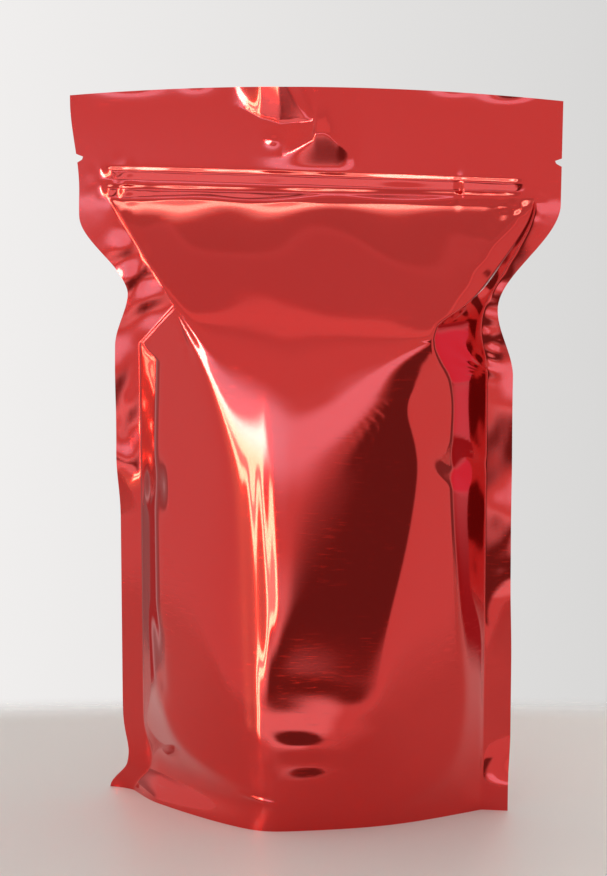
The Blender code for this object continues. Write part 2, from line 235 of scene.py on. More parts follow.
FRONT = Sheet(
    corners=((-0.0800, 0.2470, 0.0035), (0.0895, 0.2450, 0.0035)),
    apexes=((-0.0490, 0.2075, 0.0305), (0.0556, 0.1965, 0.0380)),
    gore_feet=((-0.0580, 0.2110, 0.0005), (0.0720, 0.2090, 0.0240)),
    pinches=((-0.0685, 0.2030), (0.0700, 0.2060)),
    belly=0.0035,
    belly_facets=((-0.0045, 0.0459, 0.24, 0.0474, 0.42, 0.0), (-0.0045, 0.0467, -0.10, 0.0476, -0.18, 0.0),
                  (0.0375, 0.0380, -0.34, 0.0385, -0.60, 0.15)),
    belly_rolls=(0.0011, 0.0030),
    side_facets=((-0.0600, 0.0200, 0.67, 0.0215, 0.80, 0.07), (0.0630, 0.0242, -0.86, 0.0130, -0.78, 0.15)),
    flank_hollows=((), ((0.0460, 0.1740, 0.0230, 0.0160, 0.0, 0.0050),)),
    walls=(1.95, -2.4),
    chamfers=(((0.0556, 0.1965), (0.0375, 0.1747), 0.30, 0.0008),),
    ridges=(((-0.0560, 0.1345), (-0.0665, 0.1345), -0.0030, 0.0080, 0.0080),
            ((0.0590, 0.1430), (0.0670, 0.1500), -0.0030, 0.0070, 0.0070),
            ((-0.0605, 0.0800), (-0.0575, 0.0480), -0.0018, 0.0030, 0.0030),
            ((-0.0206, 0.0142), (-0.0063, 0.0120), 0.0005, 0.0009, 0.0009)),
    fans=((0.0375, 0.1747, -105.0, 28.0, 3.0, 0.022, 0.00003),
          (0.0745, 0.1785, 128.0, 30.0, 4.0, 0.012, 0.00040),
          (-0.0685, 0.2030, 55.0, 30.0, 4.0, 0.009, 0.00035),
          (-0.0490, 0.2075, -62.0, 16.0, 2.0, 0.018, 0.00018)),
)
BACK = Sheet(
    corners=((-0.0840, 0.2460, 0.0035), (0.0840, 0.2460, 0.0035)),
    apexes=((-0.0520, 0.2010, 0.0340), (0.0500, 0.2040, 0.0320)),
    gore_feet=((-0.0700, 0.2150, 0.0005), (0.0720, 0.2160, 0.0005)),
    pinches=((-0.0700, 0.2080), (0.0720, 0.2090)),
    belly=0.0040,
    belly_rolls=(0.0022, 0.0022),
    belly_facets=((0.0060, 0.0445, 0.17, 0.0470, 0.24, 0.0), (0.0060, 0.0445, -0.21, 0.0470, -0.26, 0.0),
                  (-0.0380, 0.0380, 0.45, 0.0380, 0.60, 0.03)),
    side_facets=((-0.0610, 0.0205, 0.92, 0.0120, 0.80, 0.10), (0.0610, 0.0205, -0.85, 0.0120, -0.80, 0.08)),
    flank_hollows=((), ((0.0420, 0.1790, 0.0230, 0.0160, 0.0, 0.0040),)),
    walls=(2.2, -2.2),
    chamfers=(((0.0500, 0.2040), (0.0330, 0.1780), 0.25, 0.0008),),
    ridges=(((0.0600, 0.1200), (0.0670, 0.1130), -0.0028, 0.0080, 0.0080),
            ((-0.0600, 0.0900), (-0.0670, 0.0980), -0.0028, 0.0080, 0.0080)),
    fans=((0.0330, 0.1780, -100.0, 28.0, 3.0, 0.022, 0.00022),
          (-0.0520, 0.2010, -80.0, 20.0, 2.0, 0.020, 0.00022)),
)

# The room as the film reflects it: degrees left to right of the camera and up from the horizon, each range
# with how soft its edge is, and the light that comes from there. A later patch covers an earlier one.
ROOM_LIGHT = (0.76, 0.75, 0.74)
ALL_ROUND = (-180.0, 180.0, 1.0)
OVERHEAD = 200.0                    # past straight up, so that a patch has no edge there
ROOM_PATCHES = {
    "upper wall": (ALL_ROUND, (40, OVERHEAD, 6), (0.64, 0.63, 0.62)),
    "ceiling edge": (ALL_ROUND, (43.5, 51.0, 1.0), (0.88, 0.86, 0.84)),
    "ceiling": (ALL_ROUND, (51, 65, 1.0), (0.62, 0.61, 0.60)),
    "ceiling board": (ALL_ROUND, (65, 68, 1.2), (0.66, 0.65, 0.64)),
    "ceiling far": (ALL_ROUND, (68, OVERHEAD, 1.2), (0.56, 0.54, 0.52)),
    "pale rug": ((-38, 6, 3), (-40, -9, 2.5), (1.05, 1.7, 1.8)),
    "pale curtain": ((-38, 4, 4), (-1, 13, 3), (1.15, 2.2, 2.7)),
    "right cupboard": ((84, 104, 4), (-60, 12, 5), (0.25, 0.20, 0.19)),
    "right curtain foot": ((108, 136, 5), (-60, -9, 3), (0.36, 0.04, 0.05)),
    "right curtain": ((108, 136, 5), (-9, 25, 3), (0.80, 0.14, 0.24)),
    "left cupboard": ((-135, -104, 5), (-60, 8, 5), (0.40, 0.34, 0.33)),
    "left curtain": ((-152, -138, 4), (-60, 25, 6), (0.40, 0.05, 0.05)),
    "back cupboard": ((140, 154, 3), (-60, 10, 5), (0.20, 0.16, 0.15)),
    "back window": ((158, 167, 2), (-40, 30, 3), (6.0, 5.6, 5.2)),
}
# The dark floor in front. Its soft edge runs on a slant: it lies where the degrees across, less FLOOR_SLANT
# times the rise, are between the two of FLOOR_EDGE.
FLOOR_EDGE, FLOOR_SLANT, FLOOR_FAR = (-2.0, 24.0), 2.3, 400.0
FLOOR_ACROSS, FLOOR_RISE = (-36.0, 43.5, 3.0), (-20.8, 14.0, 2.5)
FLOOR_LIGHT = (0.17, 0.13, 0.12)
WINDOW_PATCHES = {
    "salmon wall": ((-60, -44, 9), (-40, 14, 3), (0.98, 1.3, 1.0)),
    "window glow": ((-52, -20, 9), (0, 15, 7), (1.15, 3.0, 3.8)),
    "window head": ((-50, -36, 3), (14, 21, 3), (1.2, 4.0, 5.0)),
    "window": ((-49, -38, 1.2), (-27, 16, 2), (15.5, 14.4, 9.6)),
    "window bar": ((-45.4, -42.0, 0.8), (-30, 0, 2), (1.4, 3.3, 3.1)),
    "window sky": ((-50, -36, 1.5), (2, 16, 4), (22.0, 22.0, 20.0)),
}
# Overhead lamp, its shade and its two bright tubes: degrees round from the front horizon, over the top, with
# how soft the edge is, and the light
LAMPS = (
    ((84.0, 114.0, 1.5), (1.15, 2.1, 1.9)),
    ((86.3, 90.0, 1.0), (3.0, 6.5, 5.2)),
    ((97.0, 104.0, 1.0), (12.0, 11.0, 9.0)),
)
LAMP_LENGTH = (-0.75, 0.75, 0.05)   # its two ends, as the sine of how far they are to the side
# Light on the table and the wall, which the film doesn't show
DIFFUSE_LIGHT = (0.80, 0.79, 0.78)
WALL_SHADE_RUN = (-0.12, 0.12)      # the wall turns from light to shaded between these sines


def smooth_step(value):
    """0 below 0, 1 above 1, and a smooth rise between."""
    t = np.clip(value, 0.0, 1.0)
    return t * t * (3.0 - 2.0 * t)


def bump(value):
    """1 at 0, falling off smoothly to either side."""
    return np.exp(-value ** 2)


def soft_min(radius, *depths):
    """The least of the depths, with its corners rounded."""
    stack = np.stack(np.broadcast_arrays(*depths))
    least = stack.min(axis=0)
    return least - radius * np.log(np.exp((least - stack) / radius).sum(axis=0))


def soft_floor(depth, radius):
    """The depth where it is positive, fading smoothly to 0."""
    return 0.5 * (depth + np.sqrt(depth ** 2 + radius ** 2))


def plane(x, z, points):
    """Depth at x, z of the plane through three points."""
    grid = np.array([(px, pz, 1.0) for px, pz, _ in points])
    across, up, constant = np.linalg.solve(grid, np.array([depth for _, _, depth in points]))
    return across * x + up * z + constant


def along_line(x, z, start, end):
    """Share of the way along a line, and the distance to the right of it, seen along it."""
    run_x, run_z = end[0] - start[0], end[1] - start[1]
    length = np.hypot(run_x, run_z)
    share = ((x - start[0]) * run_x + (z - start[1]) * run_z) / length ** 2
    offset = ((x - start[0]) * run_z - (z - start[1]) * run_x) / length
    return share, offset


def ridge(x, z, start, end, height, left, right):
    """A long fold that fades at both ends. A height below 0 makes a valley."""
    share, offset = along_line(x, z, start, end)
    fade = smooth_step((share + 0.25) / 0.5) * smooth_step((1.25 - share) / 0.5)
    return height * fade * bump(offset / np.where(offset < 0.0, left, right))


def dent(x, z, centre_x, centre_z, half_width, half_height, turn, depth):
    """A round dent, or a blister where its depth is below 0."""
    angle = math.radians(turn)
    across = (x - centre_x) * math.cos(angle) + (z - centre_z) * math.sin(angle)
    up = (z - centre_z) * math.cos(angle) - (x - centre_x) * math.sin(angle)
    return -depth * bump(np.hypot(across / half_width, up / half_height))


def fan(x, z, centre_x, centre_z, toward, spread, folds, reach, height):
    """Fine folds that run out from a pinched point."""
    run_x, run_z = x - centre_x, z - centre_z
    distance = np.hypot(run_x, run_z)
    angle = np.degrees(np.arctan2(run_z, run_x)) - toward
    angle = (angle + 180.0) % 360.0 - 180.0
    sweep = bump(angle / spread) * (distance / reach) * np.exp(1.0 - (distance / reach) ** 2)
    return height * sweep * np.cos(np.pi * folds * angle / spread)


def ripples(x, z, seed, spacing):
    """Irregular waves between -1 and 1, of about the given spacing."""
    chance = np.random.default_rng(seed)
    total = np.zeros_like(x)
    for _ in range(9):
        direction = chance.uniform(0.0, np.pi)
        stretch = chance.uniform(0.6, 1.6)
        phase = chance.uniform(0.0, 2.0 * np.pi)
        travel = x * np.cos(direction) + z * np.sin(direction)
        total += np.sin(2.0 * np.pi * travel * stretch / spacing + phase)
    return total / 4.5


def read_off(x, points):
    """Value at x, on the straight runs between (x, value) points."""
    return np.interp(x, *zip(*points))


def left_edge(z):
    """X of the left side edge: header, neck and body, and the flared corner at its foot."""
    neck = LEFT_NECK + (LEFT_HEADER_FOOT - LEFT_NECK) * smooth_step((z - 0.210) / 0.032)
    neck += (LEFT_BODY - LEFT_NECK) * smooth_step((0.211 - z) / 0.022)
    header = (HEADER_HALF - LEFT_HEADER_FOOT) * smooth_step((z - 0.250) / 0.045)
    corner = CORNER_FLARE * smooth_step((0.012 - z) / 0.012) - CORNER_PINCH * bump((z - 0.017) / 0.009)
    return -(neck + header + corner)


def right_edge(z):
    """X of the right side edge: header, neck and body."""
    neck = RIGHT_NECK + (HEADER_HALF - RIGHT_NECK) * smooth_step((z - 0.206) / 0.042)
    return neck + (RIGHT_BODY - RIGHT_NECK) * smooth_step((0.206 - z) / 0.027)


def notch(sizes, z):
    """Half-round tear notch, as the width that it takes off a side edge."""
    reach = np.clip(1.0 - ((z - sizes.notch_height) / (0.5 * sizes.notch_size)) ** 2, 0.0, None)
    return sizes.notch_size * np.sqrt(reach)


def height_at(x, level):
    """Height of a mesh row: level below the shoulder, and bowed down towards the header's ends above it."""
    across = x / HEADER_HALF
    bow = CROWN_BOW * across ** 2 + CROWN_TILT * across
    return level - bow * smooth_step((level - SHOULDER_HEIGHT) / (CROWN_HEIGHT - SHOULDER_HEIGHT))


def header_blister(x, z):
    """A fold of the header that stands out from its top edge, with a sharp lower edge."""
    above = np.clip(z - read_off(x, BLISTER_FOOT), 0.0, None)
    right_end = BLISTER_RIGHT - BLISTER_SLANT * (z - BLISTER_FOOT[-1][1])
    width = smooth_step((x - BLISTER_LEFT) / 0.0130) * smooth_step((right_end - x) / 0.0070)
    lip = BLISTER_LIP * smooth_step(above / BLISTER_LIP_LENGTH)
    return width * (read_off(x, BLISTER_SLOPE) * above + lip)


def header_hill(x, z):
    """The peaked bulge over the zip, where the header starts to lean back."""
    roof = read_off(x, HILL_ROOF)
    rise = HILL_RISE * smooth_step((x - HILL_LEFT) / 0.0280) * smooth_step((HILL_RIGHT - x) / 0.0090)
    up = soft_floor(z - HILL_FOOT, HILL_EDGE) - soft_floor(z - roof, HILL_EDGE)
    return rise * up * np.exp(-np.clip(z - roof, 0.0, None) / HILL_FALL)


def seal_curls(x, z):
    """The two side seals curl back low down and wave above that."""
    body = 1.0 - smooth_step((z - 0.185) / 0.030)
    above_foot = smooth_step((z - 0.010) / 0.020)
    total = 0.0
    for side, start, curl, curl_top, curl_fade, wave, zero, length, wave_foot, wave_fade in SIDE_SEALS:
        curled = curl * smooth_step((curl_top - z) / curl_fade) * above_foot
        waves = wave * np.sin(2.0 * np.pi * (z - zero) / length)
        waves = waves * (1.0 - smooth_step((wave_foot - z) / wave_fade))
        total = total + soft_floor(side * x - start, SEAL_HINGE) * (curled + body * waves)
    return total


def middle(x, z):
    """Y of the seals' mid-surface: the header leans back and has folds of its own, the left foot corner is
    splayed back and the two side seals wave and curl."""
    lean = HEADER_LEAN * soft_floor(z - LEAN_START, 0.003)
    corner = CORNER_SPLAY * smooth_step((-CORNER_START - x) / 0.024) * smooth_step((0.030 - z) / 0.030)
    folds = header_blister(x, z) + header_hill(x, z)
    for place in HEADER_DENTS:
        folds = folds - dent(x, z, *place)
    for centre_x, centre_z, half_width, half_height, spacing, height, seed in CRUMPLES:
        patch = dent(x, z, centre_x, centre_z, half_width, half_height, 0.0, height)
        folds = folds - patch * ripples(x, z, seed, spacing)
    return lean + corner + seal_curls(x, z) - folds


def tent(above, width):
    """Ridge with a steep upper side of the given width, and a lower side twice as wide."""
    away = np.hypot(above / np.where(above > 0.0, width, 2.0 * width), ZIP_CREST)
    return soft_floor(1.0 - away, ZIP_FOOT)


def zip_relief(sizes, x, level):
    """The two round ridges that the zip presses into the film."""
    ends = smooth_step((sizes.zip_half_length - np.abs(x)) / ZIP_END)
    upper_line = sizes.zip_height - ZIP_UPPER_TILT * x
    lower_line = sizes.zip_height - sizes.zip_spacing - ZIP_LOWER_TILT * x
    upper, lower = (tent(level - line, sizes.zip_radius) for line in (upper_line, lower_line))
    lumps = 1.0 + ZIP_WAVE * ripples(x, 0.0 * x, seed=6, spacing=0.040)
    return sizes.zip_relief * ends * (upper * lumps + ZIP_LOWER_SHARE * lower * (2.0 - lumps))


def upright_facet(facet, x, z):
    """Depth of an upright facet's plane, which turns a little between the foot and the middle."""
    facet_x, depth, slope, foot_depth, foot_slope, lean = facet
    rise = smooth_step(z / FACETS_FULL)
    depth_here = foot_depth + (depth - foot_depth) * rise
    slope_here = foot_slope + (slope - foot_slope) * rise
    return depth_here + slope_here * (x - facet_x) + lean * soft_floor(z - FACETS_FULL, FACET_LEAN_ROLL)


def gore(corner, apex, foot, pinch, x, z):
    """Depth of the gore beside the shoulder panel. Below its pinch fold the film rises again."""
    _, right_of_fold = along_line(x, z, pinch, apex[:2])
    below = right_of_fold * np.sign(apex[0] - pinch[0])
    return plane(x, z, (corner, apex, foot)) + GORE_LIFT * soft_floor(below, PINCH_EDGE)


def panel(x, z):
    """Depth of the shoulder panel, steepest under its crease."""
    wave = CREASE_WAVE * ripples(x, 0.0 * z, seed=5, spacing=0.060)
    down = CREASE_HEIGHT + wave * smooth_step((z - 0.215) / 0.035) - z
    swell = 1.0 - np.exp(-np.clip(down, -0.004, None) / PANEL_SWELL_LENGTH)
    swell = swell * (1.0 + SWELL_WAVE * ripples(x, 0.0 * z, seed=9, spacing=0.045))
    waves = PANEL_WAVE * ripples(x, 1.3 * z, seed=12, spacing=0.060) * smooth_step(down / 0.030)
    step = CREASE_STEP * (1.0 - np.exp(-np.clip(down, -0.002, None) / CREASE_STEP_LENGTH))
    return PANEL_SLOPE * down + PANEL_SWELL * swell + step + waves


def crest_streaks(x, z):
    """Faint folds along the belly's crest, which draw what it reflects out into streaks."""
    share = bump((x - STREAK_X) / STREAK_REACH) * smooth_step((STREAK_TOP - z) / STREAK_FADE)
    from_fold = x - STREAK_POINT[0] - STREAK_LEAN * (STREAK_POINT[1] - z)
    return STREAK_HEIGHT * share * np.sin(2.0 * np.pi * from_fold / STREAK_SPACING)


def bulge(sheet, x, z):
    """Depth of the belly and the shoulder panel over it, before the sides cut them off."""
    foot = 1.0 - smooth_step(z / FOOT_HEIGHT)
    drift = CREST_DRIFT * smooth_step((CREST_DRIFT_TOP - z) / CREST_DRIFT_LENGTH)
    facets = [upright_facet(facet, x + drift, z) for facet in sheet.belly_facets[:CREST_FACETS]]
    facets += [upright_facet(facet, x, z) for facet in sheet.belly_facets[CREST_FACETS:]]
    belly = facets[0]
    for facet, roll in zip(facets[1:], sheet.belly_rolls):
        belly = soft_min(roll + 0.5 * FOOT_ROLL * foot, belly, facet)
    belly = belly + sheet.belly * np.sin(np.pi * np.clip(z / BELLY_HEIGHT, 0.0, 1.0))
    belly = belly + dent(x, z, *FOOT_DENT) - crest_streaks(x, z)
    belly = belly - dent(x, z, *FOOT_WAVES) * ripples(0.45 * x, z, seed=8, spacing=0.017)
    to_apex = np.where(x < 0.0, x / sheet.apexes[0][0], x / sheet.apexes[1][0])
    roll = SHOULDER_ROLL * (1.0 - APEX_SHARPNESS * smooth_step(to_apex * 1.3 - 0.3))
    return soft_min(roll, belly, panel(x, z))


def chamfer(sheet, x, z, apex, end, slope, cut):
    """Depth of the narrow facet that falls off to the right of the fold from an apex to its end."""
    share = (z - end[1]) / (apex[1] - end[1])
    bow = np.sin(np.pi * np.clip(share, 0.0, 1.0))
    below, above = np.clip(-share, 0.0, None), np.clip(share - 1.0, 0.0, None)
    fold_x = end[0] + (apex[0] - end[0]) * (share + CHAMFER_TURN * below) - CHAMFER_BOW * bow
    edge = bulge(sheet, fold_x, z) + CHAMFER_RUN_OUT * below + CHAMFER_CLEAR * above - cut * bow
    return edge - slope * (x - fold_x)


def sheet_depth(sheet, x, z, left_seal, right_seal):
    """Distance of a sheet's film in front of the seals' mid-surface."""
    foot = 1.0 - smooth_step(z / FOOT_HEIGHT)
    depth = bulge(sheet, x, z) + FILM_WAVE * ripples(x, 0.6 * z, seed=3, spacing=0.030)
    for line in sheet.chamfers:
        depth = soft_min(CHAMFER_EDGE, depth, chamfer(sheet, x, z, *line))
    for facet, hollows, wall, seal, roll, neck in zip(sheet.side_facets, sheet.flank_hollows, sheet.walls,
                                                      (left_seal, right_seal), FLANK_ROLLS, NECK_STARTS):
        steep = abs(wall) + (WALL_SLOPE_FOOT - abs(wall)) * foot
        steep = steep + WALL_SLOPE_NECK * smooth_step((z - neck) / NECK_LENGTH)
        flank = upright_facet(facet, x, z) + sum(dent(x, z, *place) for place in hollows)
        side = soft_min(FACET_EDGE, flank, steep * np.sign(wall) * (x - seal))
        roll = FACET_EDGE + roll * smooth_step((FLANK_ROLL_TOP - z) / FLANK_ROLL_LENGTH) + FOOT_ROLL * foot
        depth = soft_min(roll, depth, side)

    places = zip(sheet.corners, sheet.apexes, sheet.gore_feet, sheet.pinches)
    depth = soft_min(DIAGONAL_EDGE, depth, *(gore(*points, x, z) for points in places))
    for line in sheet.ridges:
        depth = depth + ridge(x, z, *line)
    for place in sheet.fans:
        depth = depth + fan(x, z, *place)
    return soft_floor(depth, SEAL_EDGE + NECK_EDGE * bump((z - NECK_EDGE_HEIGHT) / NECK_EDGE_REACH))


def row_levels():
    """Heights of the mesh's rows, closest over the zip."""
    starts = [start for start, _ in ROW_BANDS] + [CROWN_HEIGHT]
    levels = []
    for (start, spacing), end in zip(ROW_BANDS, starts[1:]):
        count = max(1, round((end - start) / spacing))
        levels.extend(start + (end - start) * step / count for step in range(count))
    return levels + [CROWN_HEIGHT]


def column_places():
    """Columns across a sheet: 0 to 1 over the left seal, 1 to 2 to the right one and 2 to 3 over that."""
    seal = [step / SEAL_COLUMNS for step in range(SEAL_COLUMNS)]
    fine = np.linspace(0.0, 1.0, 400)
    crowding = COLUMN_EVEN + sum(more * bump((fine - place) / width) for place, width, more in COLUMN_CROWDS)
    travelled = np.concatenate([[0.0], np.cumsum(0.5 * (crowding[1:] + crowding[:-1]))])
    even = np.linspace(0.0, travelled[-1], ACROSS + 1)
    inner = [1.0 + place for place in np.interp(even, travelled, fine)]
    return seal + inner + [3.0 - place for place in reversed(seal)]


def film_points(sheet, sizes, toward, across, levels):
    """Places of a sheet's mesh points, from how far across and how high each one is."""
    left, right = left_edge(levels) + notch(sizes, levels), right_edge(levels) - notch(sizes, levels)
    narrowed = 1.0 - NECK_PINCH * bump((levels - NECK_PINCH_HEIGHT) / NECK_PINCH_REACH)
    left_seal = left_edge(levels) + sizes.seal_width
    right_seal = right_edge(levels) - sizes.seal_width * narrowed
    x = left + (left_seal - left) * np.clip(across, 0.0, 1.0)
    x = x + (right_seal - left_seal) * np.clip(across - 1.0, 0.0, 1.0)
    x = x + (right - right_seal) * np.clip(across - 2.0, 0.0, 1.0)
    z = height_at(x, levels)
    depth = 0.5 * sizes.film_thickness + sheet_depth(sheet, x, levels, left_seal, right_seal)
    depth = depth + zip_relief(sizes, x, levels)
    return np.stack([x, middle(x, z) + toward * depth, z], axis=1)


def film_normals(sheet, sizes, toward, across, levels):
    """Which way the film faces at each mesh point, from its own slopes, so that reflections run smoothly."""
    left, right = (np.clip(across + step, 0.0, 3.0) for step in (-STEP_ACROSS, STEP_ACROSS))
    low, high = (np.clip(levels + step, 0.0, CROWN_HEIGHT) for step in (-STEP_UP, STEP_UP))
    run = film_points(sheet, sizes, toward, right, levels) - film_points(sheet, sizes, toward, left, levels)
    rise = film_points(sheet, sizes, toward, across, high) - film_points(sheet, sizes, toward, across, low)
    facing = -toward * np.cross(run, rise)
    return facing / np.linalg.norm(facing, axis=1, keepdims=True)


def lay_sheet(sheet, sizes, toward, rounds):
    """Mesh of one sheet: a grid of film, shaped by the sheet's folds and refined where it turns sharply."""
    columns, levels = column_places(), row_levels()
    bm = bmesh.new()
    bmesh.ops.create_grid(bm, x_segments=len(columns) - 1, y_segments=len(levels) - 1, size=0.5)
    for fold_angle in FOLD_ANGLES[:rounds] + (None,):
        flat = np.array([v.co for v in bm.verts])
        across = np.interp((flat[:, 0] + 0.5) * (len(columns) - 1), range(len(columns)), columns)
        heights = np.interp((flat[:, 1] + 0.5) * (len(levels) - 1), range(len(levels)), levels)
        for point, place in zip(bm.verts, film_points(sheet, sizes, toward, across, heights)):
            point.co = place
        if fold_angle is None:
            break
        bm.normal_update()
        limit = math.radians(fold_angle)
        turns = [edge for edge in bm.edges if edge.calc_face_angle(0.0) > limit]
        turning = {face for edge in turns for face in edge.link_faces}
        edges = list({edge for face in turning for edge in face.edges if not edge.is_boundary})
        for point, place in zip(bm.verts, flat):
            point.co = place
        bmesh.ops.subdivide_edges(bm, edges=edges, cuts=1, use_grid_fill=True, use_single_edge=True)
    facing = bm.verts.layers.float_vector.new("facing")
    for point, normal in zip(bm.verts, film_normals(sheet, sizes, toward, across, heights)):
        point[facing] = normal
    mesh = bpy.data.meshes.new("sheet")
    bm.to_mesh(mesh)
    bm.free()
    return mesh


def add_underside(bm):
    """Skirt rim, groove and sagging gusset, as rings drawn in from the foot's own outline."""
    spans = [face for face in bm.faces if all(abs(v.co.z) < 1e-6 for v in face.verts)
             and all(abs(v.co.x) < UNDERSIDE_HALF for v in face.verts)]
    bmesh.ops.delete(bm, geom=spans, context="FACES")
    facing = bm.verts.layers.float_vector["facing"]
    ring = [edge for edge in bm.edges if edge.is_boundary]
    places = {v: v.co.copy() for edge in ring for v in edge.verts}
    for scale, rise in RIM_RINGS:
        made = bmesh.ops.extrude_edge_only(bm, edges=ring)["geom"]
        fresh = {}
        for point in (item for item in made if isinstance(item, bmesh.types.BMVert)):
            source = next(v for edge in point.link_edges for v in edge.verts if v in places)
            fresh[point] = places[source]
            point[facing] = (0.0, 0.0, 0.0)
            point.co = (places[source].x * scale, places[source].y * scale, rise)
        places = fresh
        ring = [item for item in made if isinstance(item, bmesh.types.BMEdge) and item.is_boundary]
    bmesh.ops.contextual_create(bm, geom=ring)


def linear(hex_colour):
    """Linear red, green and blue of an sRGB hex colour."""
    shares = [int(hex_colour[start:start + 2], 16) / 255.0 for start in (0, 2, 4)]
    return tuple(share / 12.92 if share <= 0.04045 else ((share + 0.055) / 1.055) ** 2.4 for share in shares)


def add_node(tree, kind, inputs=None, **settings):
    """Adds a node with its settings. An input is given as a value, or as the socket that it is linked to."""
    node = tree.nodes.new(kind)
    for name, value in settings.items():
        setattr(node, name, value)
    for name, value in (inputs or {}).items():
        if isinstance(value, bpy.types.NodeSocket):
            tree.links.new(value, node.inputs[name])
        else:
            node.inputs[name].default_value = value
    return node


def metallised_film(colours):
    """Polyester film, metallised with aluminium on its back and gravure-lacquered red: a mirror that returns
    red, under a clear face that returns white. Its lacquer is a little uneven, and handling has left fine
    level scratches."""
    material = bpy.data.materials.new("red_lacquered_metallised_polyester")
    material.use_nodes = True
    tree = material.node_tree
    shader = tree.nodes["Principled BSDF"]
    place = add_node(tree, "ShaderNodeTexCoord").outputs["Object"]
    cloud = add_node(tree, "ShaderNodeTexNoise", {
        "Vector": place, "Scale": 1000.0 / CLOUD_MM, "Detail": 3.0})
    tone = add_node(tree, "ShaderNodeMix", {
        0: cloud.outputs["Fac"], 6: (*colours.lacquer, 1.0), 7: (*colours.lacquer_thick, 1.0),
    }, data_type="RGBA").outputs[2]
    tree.links.new(tone, shader.inputs["Base Color"])
    # Scratches a few mm long and a hair thick, drawn about 0.4 mm thick so that they show
    level = add_node(tree, "ShaderNodeMapping", {"Vector": place, "Scale": (
        1000.0 / SCRATCH_LENGTH_MM, 1000.0 / SCRATCH_LENGTH_MM, 1000.0 / SCRATCH_SPACING_MM)}).outputs[0]
    scratch = add_node(tree, "ShaderNodeTexNoise", {"Vector": level, "Scale": 1.0, "Detail": 2.0})
    scratch = add_node(tree, "ShaderNodeMapRange", {
        "Value": scratch.outputs["Fac"], "From Min": 0.58, "From Max": 0.72}).outputs[0]
    worn = add_node(tree, "ShaderNodeTexNoise", {"Vector": place, "Scale": 1000.0 / WORN_MM})
    worn = add_node(tree, "ShaderNodeMapRange", {
        "Value": worn.outputs["Fac"], "From Min": 0.40, "From Max": 0.60}).outputs[0]
    scratch = add_node(tree, "ShaderNodeMath", {0: scratch, 1: worn}, operation="MULTIPLY").outputs[0]
    rough = add_node(tree, "ShaderNodeMapRange", {"Value": scratch, "To Min": 0.09, "To Max": 0.22})
    tree.links.new(rough.outputs[0], shader.inputs["Roughness"])
    grain = add_node(tree, "ShaderNodeTexNoise", {
        "Vector": place, "Scale": 1000.0 / GRAIN_MM, "Detail": 2.0})
    relief = add_node(tree, "ShaderNodeMath", {0: scratch, 1: 0.6, 2: grain.outputs["Fac"]},
                      operation="MULTIPLY_ADD").outputs[0]
    normal = add_node(tree, "ShaderNodeBump", {"Height": relief, "Strength": 0.35, "Distance": 0.00002})
    tree.links.new(normal.outputs[0], shader.inputs["Normal"])
    shader.inputs["Metallic"].default_value = 1.0
    shader.inputs["Coat Weight"].default_value = 1.0
    shader.inputs["Coat Roughness"].default_value = 0.03
    return material


class PouchSizes(bpy.types.PropertyGroup):
    seal_width: FloatProperty(name="Seal width", description="Width of the flat side seals",
                              default=0.0105, subtype="DISTANCE", unit="LENGTH")
    film_thickness: FloatProperty(name="Film thickness", description="Thickness of the two sealed sheets",
                                  default=0.00035, subtype="DISTANCE", unit="LENGTH")
    zip_height: FloatProperty(name="Zip height", description="Height of the zip's upper ridge",
                              default=0.2585, subtype="DISTANCE", unit="LENGTH")
    zip_spacing: FloatProperty(name="Zip spacing", description="Distance between the zip's two ridges",
                               default=0.0065, subtype="DISTANCE", unit="LENGTH")
    zip_half_length: FloatProperty(name="Zip half length", description="Half the length of the round ridges",
                                   default=0.087, subtype="DISTANCE", unit="LENGTH")
    zip_relief: FloatProperty(name="Zip relief", description="How far the zip's ridges stand out",
                              default=0.0019, subtype="DISTANCE", unit="LENGTH")
    zip_radius: FloatProperty(name="Zip radius", description="Half width of one of the zip's ridges",
                              default=0.0019, subtype="DISTANCE", unit="LENGTH")
    notch_height: FloatProperty(name="Notch height", description="Height of the two tear notches",
                                default=0.2662, subtype="DISTANCE", unit="LENGTH")
    notch_size: FloatProperty(name="Notch size", description="Width and depth of a tear notch",
                              default=0.0028, subtype="DISTANCE", unit="LENGTH")


class PouchColours(bpy.types.PropertyGroup):
    lacquer: FloatVectorProperty(name="Lacquer", description="Colour that the metallised film returns",
                                 default=linear("DC221A"), subtype="COLOR", size=3, min=0.0, max=1.0)
    lacquer_thick: FloatVectorProperty(name="Thick lacquer", description="The same where it is thicker",
                                       default=linear("D81E17"), subtype="COLOR", size=3, min=0.0,
                                       max=1.0)
    table: FloatVectorProperty(name="Table", description="Colour of the table top",
                               default=linear("D6D0CC"), subtype="COLOR", size=3, min=0.0, max=1.0)
    table_far: FloatVectorProperty(name="Table clouding", description="Second tone of the table top",
                                   default=linear("DAD3CF"), subtype="COLOR", size=3, min=0.0, max=1.0)
    wall_shade: FloatVectorProperty(name="Shaded wall", description="Colour of the wall on its darker side",
                                    default=linear("D9D8D7"), subtype="COLOR", size=3, min=0.0, max=1.0)
    wall: FloatVectorProperty(name="Wall", description="Colour of the wall behind the pouch",
                              default=linear("F0EEED"), subtype="COLOR", size=3, min=0.0, max=1.0)


